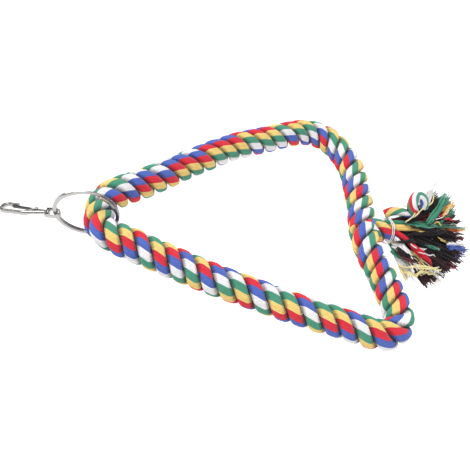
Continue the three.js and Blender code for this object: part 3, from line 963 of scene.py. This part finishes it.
@dataclass
class Tassel:
    """The opened end of the tail: hanks of loose yarn, wisps over them and strand ends that hold together.

    The hanks leave the tail's end on two circles, in order.
    """

    yarns: YarnShape = YarnShape()
    seed: int = 7
    inner_at: float = 3.6
    outer_at: float = 7.05
    bend_least: float = 2.0
    bend_share: float = 0.2
    line_points: int = 9
    wisp_wave: float = 0.035
    wisp_wave_most: float = 1.0
    curl_r: float = 6.0
    curl_rings: int = 28
    curl_taper: float = 0.25
    inner: tuple[Hank, ...] = (
        Hank("tassel_black_1", BLACK_YARN, (33, 14, 34), 52, 5.5),
        Hank("tassel_black_2", BLACK_YARN, (51, -12, 17), 64, 6.5),
        Hank("tassel_black_3", BLACK_YARN, (49, -26, 12), 70, 7.0),
        Hank("tassel_black_4", BLACK_YARN, (36, -34, 8), 70, 6.5),
        Hank("tassel_black_5", BLACK_YARN, (21, -41, 4), 52, 5.5),
        Hank("tassel_black_6", BLACK_YARN, (57, 6, 15), 60, 6.0),
    )
    outer: tuple[Hank, ...] = (
        Hank("tassel_green_1", GREEN_YARN, (45, 20, 28), 52, 5.0),
        Hank("tassel_red_1", RUST_YARN, (38, 1, 31), 14, 2.6),
        Hank("tassel_green_2", GREEN_YARN, (52, -6, 29), 26, 2.6, 0.35),
        Hank("tassel_yellow_1", YELLOW_YARN, (55, -4, 22), 32, 3.2, 0.4),
        Hank("tassel_red_2", RED_YARN, (15, -35, 21), 14, 1.5),
        Hank("tassel_white_1", WHITE_YARN, (8, -36, 14), 24, 2.8, 0.5),
        Hank("tassel_yellow_2", CREAM_YARN, (17, -37, 12), 14, 3.4, 0.7, 1.4, 0.6),
        Hank("tassel_green_3", PALE_GREEN_YARN, (7, -38, 5), 24, 4.0, 0.7),
        Hank("tassel_white_2", WHITE_YARN, (31, -41, 3), 18, 4.0, 0.78),
        Hank("tassel_blue_1", BLUE_YARN, (59, -17, 9), 44, 4.4),
        Hank("tassel_blue_2", BLUE_YARN, (55, 24, 12), 44, 5.0),
        Hank("tassel_yellow_3", YELLOW_YARN, (54, 18, 22), 36, 3.6),
    )
    wisps: tuple[Wisp, ...] = (
        Wisp(WHITE_YARN, ((34.5, 2.1, 34), (36.1, 6.4, 37), (37, 9.8, 40)), 18, 1.9),
        Wisp(WHITE_YARN, ((36.5, 8, 38.5), (40.7, 13.4, 42), (44, 16, 43.5)), 3, 0.5),
        Wisp(CREAM_YARN, ((39.7, 6.7, 38), (37.9, 2, 35), (28.9, -2.8, 31.5), (24, -6.8, 28)), 1, 0.2, 0),
        Wisp(CREAM_YARN, ((18.7, 3.6, 29), (22.8, 0.3, 30), (25, -3.5, 29), (15.8, -11.8, 24.5)), 1, 0.4, 0),
        Wisp(BLACK_YARN, ((20.5, -6, 20.2), (32.5, -1, 25), (39.4, 2.5, 31), (42.8, 4.9, 36)), 36, 3.0),
        Wisp(GREEN_YARN, ((36.2, -9.4, 24.5), (41.9, -3.4, 29.5), (47.5, 3, 34), (56, 11, 33)), 32, 3.0),
        Wisp(YELLOW_YARN, ((44.4, -8.8, 31.5), (48.8, -3.9, 35.5), (56.4, 3.2, 36)), 6, 0.8),
        Wisp(GREEN_YARN, ((45.2, -10.3, 28), (53.2, -4.7, 29.5), (60, 1.6, 31)), 14, 1.8),
        Wisp(BLACK_YARN, ((45.8, -11, 29), (52.7, -10.7, 31), (58.1, -11, 32.5)), 8, 1.0),
        Wisp(BLACK_YARN, ((47.9, -9.9, 29.5), (53.8, -7, 30.5), (58.5, -4.4, 31.5)), 8, 1.0),
        Wisp(RED_YARN, ((46.6, -9.3, 31), (49.7, -9.1, 32), (52.9, -11, 31.5)), 4, 0.9),
        Wisp(GREEN_YARN, ((21.1, -6.6, 20.5), (30.9, -9.6, 22.2), (43.2, -10.9, 23.5)), 6, 0.9),
        Wisp(BLACK_YARN, ((22.2, -9.1, 20.8), (34.6, -10.8, 21.8), (49, -11.7, 22.2), (58, -15, 23.5)), 8, 1),
        Wisp(BLACK_YARN, ((17.8, -15.3, 18), (32, -13.1, 18.5), (44, -14.4, 22), (59, -11.4, 22.5)), 10, 1.4),
        Wisp(ORANGE_YARN, ((52, -10.7, 22), (58.9, -11.6, 22.7), (63.1, -12.7, 23.5)), 8, 1.2),
        Wisp(YELLOW_YARN, ((45.1, -16, 20), (47.7, -18.7, 20), (54.7, -18.6, 17)), 5, 0.8),
        Wisp(RUST_YARN, ((59.8, -18.4, 19.5), (64.6, -15.9, 19.5), (68.5, -16.9, 19)), 7, 1.3),
        Wisp(WHITE_YARN, ((50, -22.2, 19), (58.8, -21, 19), (63.9, -22.5, 20.5)), 9, 1.1),
        Wisp(BLUE_YARN, ((50.9, -25.3, 19.5), (63, -22.5, 16), (73.5, -20.6, 11.5)), 18, 1.8),
        Wisp(BLACK_YARN, ((14.4, -16.1, 12), (17.5, -19.8, 17), (20.6, -21.6, 21), (26, -21.5, 18)), 12, 1),
        Wisp(YELLOW_YARN, ((27.8, -11, 18.6), (38, -12.8, 20), (49, -11.9, 21), (56, -10.6, 22)), 5, 0.5),
        Wisp(YELLOW_YARN, ((42.1, -8.4, 24.9), (44.7, -8.3, 26.5), (46.9, -11.5, 25.8)), 2, 0.4, 0),
        Wisp(RUST_YARN, ((52.7, -30.2, 10.4), (55.7, -34, 10.5), (57.5, -37, 9.5)), 6, 0.9),
        Wisp(BLACK_YARN, ((28.3, -38.6, 8), (36.7, -39.3, 6), (43, -43.5, 5)), 12, 1.6),
        Wisp(WHITE_YARN, ((19.2, -22.6, 20.3), (22.6, -26.8, 20), (37, -24.8, 15)), 2, 0.4),
        Wisp(WHITE_YARN, ((24.1, -27.6, 16), (25, -33.2, 22), (40.1, -30.3, 15.5)), 2, 0.5),
        Wisp(GREEN_YARN, ((36, -21, 15), (42, -22.3, 14.8), (46, -25.2, 16.2)), 9, 1.0),
        Wisp(GREEN_YARN, ((12.8, -20.6, 6.5), (16.1, -24.5, 7.5), (20.1, -29.2, 10)), 14, 1.6),
        Wisp(BLACK_YARN, ((13.5, -22, 11), (16.5, -29, 13.5), (23.5, -37, 15)), 22, 2.4),
        Wisp(RUST_YARN, ((11.7, -33, 15.5), (18, -35.3, 16), (25.5, -36.2, 15)), 4, 1.2),
        Wisp(WHITE_YARN, ((12.5, -17, 9.5), (15.5, -20.5, 10.5), (17.3, -27.4, 13.5)), 16, 1.6),
        Wisp(CREAM_YARN, ((14.4, -31.9, 6.5), (16.9, -37.1, 10.5), (22.4, -38.8, 15), (30.4, -42, 17.5),
                          (42.9, -39.7, 14.5)), 5, 1.0),
        Wisp(CREAM_YARN, ((14.9, -35.6, 6.5), (16.9, -40.8, 10), (22.9, -42.9, 9), (27.2, -40.4, 10.5),
                          (30.6, -42.1, 13.5)), 4, 0.9),
        Wisp(CREAM_YARN, ((22.2, -45, 9.5), (24.9, -42.7, 14), (32.7, -42.4, 12), (40.8, -42.6, 9)), 4, 0.9),
        Wisp(WHITE_YARN, ((34.5, -38.7, 11), (42.4, -38.9, 9.5), (49, -40.5, 7)), 5, 1.0),
        Wisp(CREAM_YARN, ((15.9, -29.6, 5.5), (16.9, -36.4, 5.8), (19, -43.9, 4.8)), 9, 1.6),
    )
    curls: tuple[Curl, ...] = (
        Curl(((9.1, 2.9, 18), (13.2, 3.2, 21), (18.6, 2, 23), (22.8, -0.4, 24.5), (27.4, -1.8, 25)),
             0.55, 0.05),
        Curl(((28.1, -0.6, 25), (24.6, 0.8, 30), (24.8, 4.4, 34), (27.2, 6.6, 36.5), (30.4, 5.2, 36.5),
              (33, 2.7, 33.5), (33.7, 0.4, 30)), 0.66, 0.05, 200.0, LOOSENED_ORDER),
    )

    def build(self, cotton: bpy.types.Material) -> None:
        """Makes every hank, the wisps and the twisted ends.

        Args:
            cotton: the finish of the ends that are still twisted.
        """
        chance = random.Random(self.seed)
        looks = [hank.look for hank in (*self.inner, *self.outer)] + [wisp.look for wisp in self.wisps]
        finishes = {look: look.material() for look in dict.fromkeys(looks)}
        for circle, neck_at in ((self.inner, self.inner_at), (self.outer, self.outer_at)):
            for number, hank in enumerate(circle):
                skin = Skin()
                line = self.line(hank, neck_at, TURN * (number + 0.5) / len(circle))
                for yarn in range(hank.count):
                    looped = chance.random() < hank.looped
                    self.yarns.add(skin, line, yarn, chance, hank.spread, hank.wave, hank.shortest, looped)
                name = hank.node.replace("tassel", "hank")
                skin.piece(name, finishes[hank.look], "tassel", hank.look.slot(), [hank.node])
        for number, wisp in enumerate(self.wisps):
            skin = Skin()
            line = Line(wisp.points, fineness=12)
            wave = min(self.wisp_wave_most, self.wisp_wave * line.length)
            for yarn in range(wisp.count):
                self.yarns.add(skin, line, yarn, chance, wisp.spread, wave, ragged=wisp.ragged)
            skin.piece(f"wisp_{number + 1}", finishes[wisp.look], "tassel", wisp.look.slot(), [])
        self.add_curls(cotton)

    def line(self, hank: Hank, neck_at: float, clock: float) -> Line:
        """The line that a hank follows, as its solid does.

        Args:
            hank: the hank.
            neck_at: how far from the tail's axis it starts.
            clock: where it starts round that axis.

        Returns:
            The line.
        """
        neck = SPLICE + TAIL_WAY * TAIL_LENGTH
        start = neck + np.array((0, math.cos(clock), math.sin(clock))) * neck_at
        end = neck * (1, 1, 0) + np.array(hank.tip)
        bend = start + TAIL_WAY * (self.bend_least + self.bend_share * hank.tip[0])
        t = even(self.line_points)[:, None]
        return Line(start * (1 - t) ** 2 + bend * 2 * t * (1 - t) + end * t ** 2, fineness=8)

    def add_curls(self, cotton: bpy.types.Material) -> None:
        """Adds the strand ends that are still twisted.

        Args:
            cotton: their finish.
        """
        lay = Lay(rise=self.curl_r, half=self.curl_r, crowding=0.0)
        for number, curl in enumerate(self.curls, 1):
            line = Line(curl.points)
            shares = even(self.curl_rings)
            turns = shares * line.length / curl.pitch
            taper = (curl.scale * (1.0 - self.curl_taper * shares ** 2))[:, None]
            skin = lay.strand(line, shares, turns, curl.dye, taper, centred=True)
            finish = cotton
            if curl.order != LAID_ORDER:
                finish = LaidCotton(f"loosened_cotton_{number}", curl.order).material()
            skin.piece(f"twisted_end_{number}", finish, "tassel", "rope_cotton", [])


@dataclass
class SplitRing:
    """Two turns of flat wire with one step between them."""

    outer_r: float = 19.3
    width: float = 2.2
    layer: float = 1.05
    gap: float = 0.45
    yaw: float = 9.0
    split_at: float = 78.0
    step_half: float = 0.07
    step_clear: float = 0.09
    points: int = 220
    rings: int = 300
    sides: int = 20
    square: float = 0.55

    def build(self, nickel: bpy.types.Material) -> None:
        """Makes the ring.

        Args:
            nickel: its finish.
        """
        turn = np.linspace(self.step_clear, 2 - self.step_clear, self.points)
        raised = smooth((turn - 1 + self.step_half) / (2 * self.step_half))
        lift = (self.layer + self.gap) * (raised - 0.5)
        angle = math.radians(self.split_at) + TURN * turn
        radius = self.outer_r - self.width / 2
        wire = Line(np.stack((radius * np.cos(angle), radius * np.sin(angle), lift), axis=1), fineness=2)
        skin = Skin().section(wire, even(self.rings), self.width / 2, self.layer / 2, self.sides, self.square)
        low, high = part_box("split_ring")
        yaw = math.radians(self.yaw)
        out = Vector((-math.cos(yaw), math.sin(yaw), 0))
        place = set_at(Vector((low + high) / 2) / MM - SHIFT_VECTOR, out, Vector((0, 0, 1)))
        skin.piece("key_ring", nickel, "ring", "nickel_plate", ["split_ring"], place)


@dataclass
class SnapHook:
    """The swivel snap hook, drawn with the ring's wire along Y at the origin and the hook out along X.

    The back and the gate's ends are given by an x and a z, and the back's half width by an x and the width.
    The shank and the rivet's head have a run along their axis and a radius. The gate's half width and its
    half thickness have a share of its length and the size.
    """

    bar: float = 1.9
    thick: float = 2.6
    inside: float = 5.6
    crown_x: float = 31.1
    crown_r: float = 2.0
    nose_x: float = 25.1
    nose_run: float = 2.0
    back: Pairs = (
        (6.58, 0), (9.08, -0.15), (11.78, -0.4), (13.98, -0.75), (15.38, -1.9), (18.68, -3.6), (21.68, -3.75),
        (27.1, -3.75),
    )
    back_half: Pairs = (
        (6.58, 1.4), (11.98, 2.25), (13.98, 2.4), (15.18, 1.5), (18.68, 0.95),
    )
    crown_points: int = 7
    bar_rings: int = 150
    bar_sides: int = 20
    bar_square: float = 0.6
    bail_r: float = 2.58
    bail_x: float = 5.78
    bail_wall: float = 0.8
    bail_width: float = 3.0
    bail_corner: Pair = (0.5, 0.7)
    bail_points: int = 13
    bail_rings: int = 90
    bail_sides: int = 16
    bail_square: float = 0.5
    shank_x: Triple = (3.88, 5.5, 8.0)
    shank_r: Pairs = (
        (0, 0.9), (0.05, 1.45), (0.2, 1.75), (0.45, 1.88), (0.8, 1.88), (1.05, 1.6), (1.1, 1.1), (4.1, 1.1),
    )
    gate: Pair = (12.58, 0.95)
    gate_tip: Pair = (28.5, 2.05)
    gate_bow: float = 0.15
    gate_half: Pairs = ((0, 0.4), (0.16, 0.4), (0.2, 1.0), (0.96, 1.0), (1, 0.7))
    gate_thick: Pairs = ((0, 0.45), (0.95, 0.45), (1, 0.3))
    gate_rings: int = 40
    gate_sides: int = 16
    gate_square: float = 0.55
    rivet_head: Pairs = (
        (0, 0.3), (0.08, 0.65), (0.25, 0.95), (0.45, 1.05), (0.5, 0.55),
    )
    rivet_stands: float = 0.6
    rivet_sides: int = 20

    def place(self, flat: str) -> Matrix:
        """The frame of a part that lies flat on that joint's axis, with the swivel's axis as X."""
        x, y = Vector(joint("hook_swivel")["axis"]), Vector(joint(flat)["axis"])
        return set_at(Vector(joint("bail_swing")["pos_m"]) / MM - SHIFT_VECTOR, x, y)

    def build(self, nickel: bpy.types.Material, steel: bpy.types.Material) -> None:
        """Makes the bail, the hook, the gate and its rivet.

        Args:
            nickel: the finish of all but the gate.
            steel: the gate's finish, whose dark colour is partly painted shade.
        """
        self.bail().piece("bail", nickel, "bail", "nickel_plate", ["swivel_bail"], self.place("bail_swing"))
        place = self.place("gate_open")
        self.body().piece("snap_hook", nickel, "hook", "nickel_plate", ["hook_body"], place)
        self.lever().piece("spring_gate", steel, "gate", "spring_steel", ["hook_gate"], place)
        self.rivet().piece("gate_pin", nickel, "hook", "nickel_plate", ["gate_rivet"], place)

    def bail(self) -> Skin:
        """The strip that wraps the ring's wire, closed by a base that the shank turns in.

        Returns:
            Its mesh.
        """
        arc = np.radians(np.linspace(90, 270, self.bail_points))
        near, low = self.bail_x - self.bail_corner[0], self.bail_r - self.bail_corner[1]
        loop = [(self.bail_x, 0.0), (self.bail_x, low), (near, self.bail_r)]
        loop += [(self.bail_r * math.cos(a), self.bail_r * math.sin(a)) for a in arc]
        loop += [(near, -self.bail_r), (self.bail_x, -low)]
        strip = Line([(x, 0.0, z) for x, z in loop], closed=True)
        half, tall = self.bail_wall / 2, self.bail_width / 2
        shares = even(self.bail_rings)
        return Skin().section(strip, shares, half, tall, self.bail_sides, self.bail_square, ALONG_Y)

    def body(self) -> Skin:
        """The hook's bar from its neck round the crown to the nose, and the shank with its head.

        Returns:
            Its mesh.
        """
        middle = (self.inside + self.bar) / 2
        flat = self.inside / 2 - self.crown_r
        bend = self.crown_r + self.bar / 2
        arc = np.radians(np.linspace(-90, 0, self.crown_points))
        down = [(self.crown_x + bend * math.cos(a), -flat + bend * math.sin(a)) for a in arc]
        bar = [*self.back, *down, *((x, -z) for x, z in reversed(down))]
        bar += [(self.nose_x + self.nose_run, middle), (self.nose_x, middle)]
        line = Line([(x, 0.0, z) for x, z in bar])
        shares = even(self.bar_rings)
        half = np.interp(line.at(shares)[:, 0], *zip(*self.back_half))
        half = np.where(shares > 0.5, self.bar / 2, half)[:, None]
        tall = self.thick / 2
        skin = Skin().section(line, shares, half, tall, self.bar_sides, self.bar_square, ALONG_Y)
        return skin.turned(Line([(x, 0, 0) for x in self.shank_x]), self.shank_r)

    def lever(self) -> Skin:
        """The sprung gate from its eye to the inside of the nose.

        Returns:
            Its mesh.
        """
        (x, z), (tip_x, tip_z) = self.gate, self.gate_tip
        line = Line(((x, 0, z), ((x + tip_x) / 2, 0, (z + tip_z) / 2 + self.gate_bow), (tip_x, 0, tip_z)))
        shares = even(self.gate_rings)
        sizes = (self.gate_thick, self.gate_half)
        thick, half = (np.interp(shares, *zip(*size))[:, None] for size in sizes)
        return Skin().section(line, shares, thick, half, self.gate_sides, self.gate_square, ALONG_Y)

    def rivet(self) -> Skin:
        """The pin that the gate turns on, with a low head at each side.

        Returns:
            Its mesh.
        """
        x, z = self.gate
        reach = self.thick / 2 + self.rivet_stands
        far = tuple((2 * reach - along, r) for along, r in reversed(self.rivet_head))
        axis = Line(((x, -reach, z), (x, 0, z), (x, reach, z)))
        return Skin().turned(axis, self.rivet_head + far, self.rivet_sides)


@dataclass
class Studio:
    """The floor, the lights and the camera that stands where the photograph was taken from."""

    eye: Triple = (-215.6, -220.7, 289.5)
    right: Triple = (0.951, -0.1404, 0.2753)
    upward: Triple = (-0.0468, 0.8152, 0.5773)
    focal_px: float = 560.0
    frame_px: float = 470.0
    sensor: float = 36.0
    near_clip: float = 0.01
    floor_half: float = 4.0
    ambient: float = 0.50
    horizon: float = 0.12
    dark_below: float = 0.05
    bright_above: float = 0.45
    backdrop: float = 0.97

    def build(self) -> None:
        """Makes the floor, the lights and the camera."""
        self.floor()
        self.light("key", (-0.55, 0.25, 1.1), size=0.8, power=13.0)
        self.light("fill", (0.5, -0.9, 0.9), size=1.2, power=4.5)
        self.world()
        self.camera()

    def floor(self) -> None:
        """A wide pale floor."""
        mesh = bmesh.new()
        bmesh.ops.create_grid(mesh, x_segments=4, y_segments=4, size=self.floor_half)
        data = bpy.data.meshes.new("floor")
        mesh.to_mesh(data)
        mesh.free()
        data.materials.append(PaleFloor().material())
        floor = put("floor", data)

    def light(self, name: str, spot: Triple, size: float, power: float) -> None:
        """Adds one soft light that faces the swing.

        Args:
            name: its name.
            spot: where it hangs, in metres.
            size: the length of its sides.
            power: its power in watts.
        """
        data = bpy.data.lights.new(name, "AREA")
        data.size = size
        data.energy = power
        lamp = put(name, data)
        lamp.location = spot
        lamp.rotation_euler = (-Vector(spot)).to_track_quat("-Z", "Y").to_euler()

    def world(self) -> None:
        """Even light from above, which falls off to a dark horizon, behind a plain pale backdrop."""
        sky = Paint(bpy.data.worlds.new("studio"))
        _, _, height = sky.split(sky.add("TexCoord", out="Generated"))
        ends = {1: self.dark_below, 2: self.bright_above, 3: self.horizon, 4: 1.0}
        fall = sky.add("MapRange", {0: height, **ends})
        lit = sky.add("Background", {"Color": fall, "Strength": self.ambient})
        pale = sky.add("Background", {"Color": (self.backdrop, self.backdrop, self.backdrop, 1.0)})
        seen = sky.add("LightPath", out="Is Camera Ray")
        sky.end("OutputWorld", sky.add("MixShader", {0: seen, 1: lit, 2: pale}))
        bpy.context.scene.world = sky.owner
        bpy.context.scene.view_settings.view_transform = "Standard"

    def camera(self) -> None:
        """The camera."""
        data = bpy.data.cameras.new("camera")
        data.sensor_width = self.sensor
        data.lens = self.focal_px / self.frame_px * self.sensor
        data.clip_start = self.near_clip
        right = Vector(self.right).normalized()
        upward = Vector(self.upward)
        upward = (upward - right * upward.dot(right)).normalized()
        camera = put("camera", data)
        camera.matrix_world = set_at(Vector((np.array(self.eye) + SHIFT).tolist()) * MM, right, upward)
        bpy.context.scene.camera = camera


def main() -> None:
    """Dresses the swing, piece by piece."""
    logging.basicConfig(level=logging.INFO, format="%(name)s %(message)s")
    cotton = LaidCotton().material()
    nickel = Metal("nickel_plate_finish", (0.45, 0.44, 0.43), roughness=0.14).material()
    # The gate's dark colour is partly the steel's own and partly painted shade.
    steel = Metal("spring_steel_finish", (0.11, 0.105, 0.10), roughness=0.22).material()
    galvanised = Metal("galvanised_finish", (0.55, 0.56, 0.58), roughness=0.4, dulling=0.2).material()
    Studio().build()
    Rope().build(cotton)
    Whipping().build(LooseYarn(Yarn.WHITE, Yarn.WHITE).material())
    Tassel().build(cotton)
    SplitRing().build(nickel)
    SnapHook().build(nickel, steel)
    wire = frame["nodes"]["core_wire"].data.materials
    wire.clear()
    wire.append(galvanised)


if __name__ == "__main__":
    main()
